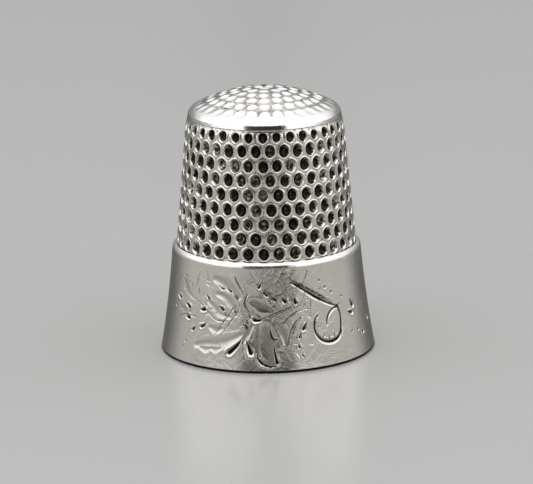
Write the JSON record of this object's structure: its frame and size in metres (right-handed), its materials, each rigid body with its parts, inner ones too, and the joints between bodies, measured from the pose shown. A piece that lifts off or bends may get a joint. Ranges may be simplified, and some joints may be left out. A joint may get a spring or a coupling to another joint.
{
  "type": "sewing thimble",
  "caption": "Tapered metal thimble with a pitted wall, a domed pitted cap, and a plain-edged engraved band whose top edge makes a ledge; worn on a fingertip to push a needle.",
  "frame": {"origin": "centre of the open mouth, in the plane it rests on", "axes": "+Z along the thimble's axis from the mouth to the cap; -Y towards the front of the engraved band"},
  "size_m": [0.018, 0.018, 0.0221],
  "materials": {
    "worn_silver": "worn silver, dark in the pits and bright on the ridges",
    "band_silver": "polished silver with fine scratches",
    "cap_silver": "bright polished silver",
    "solder": "dull silver solder"
  },
  "bodies": {
    "root": {"sleeve": "worn_silver", "band": "band_silver", "band_solder": "solder", "cap": "cap_silver", "cap_solder": "solder"}
  },
  "joints": []
}
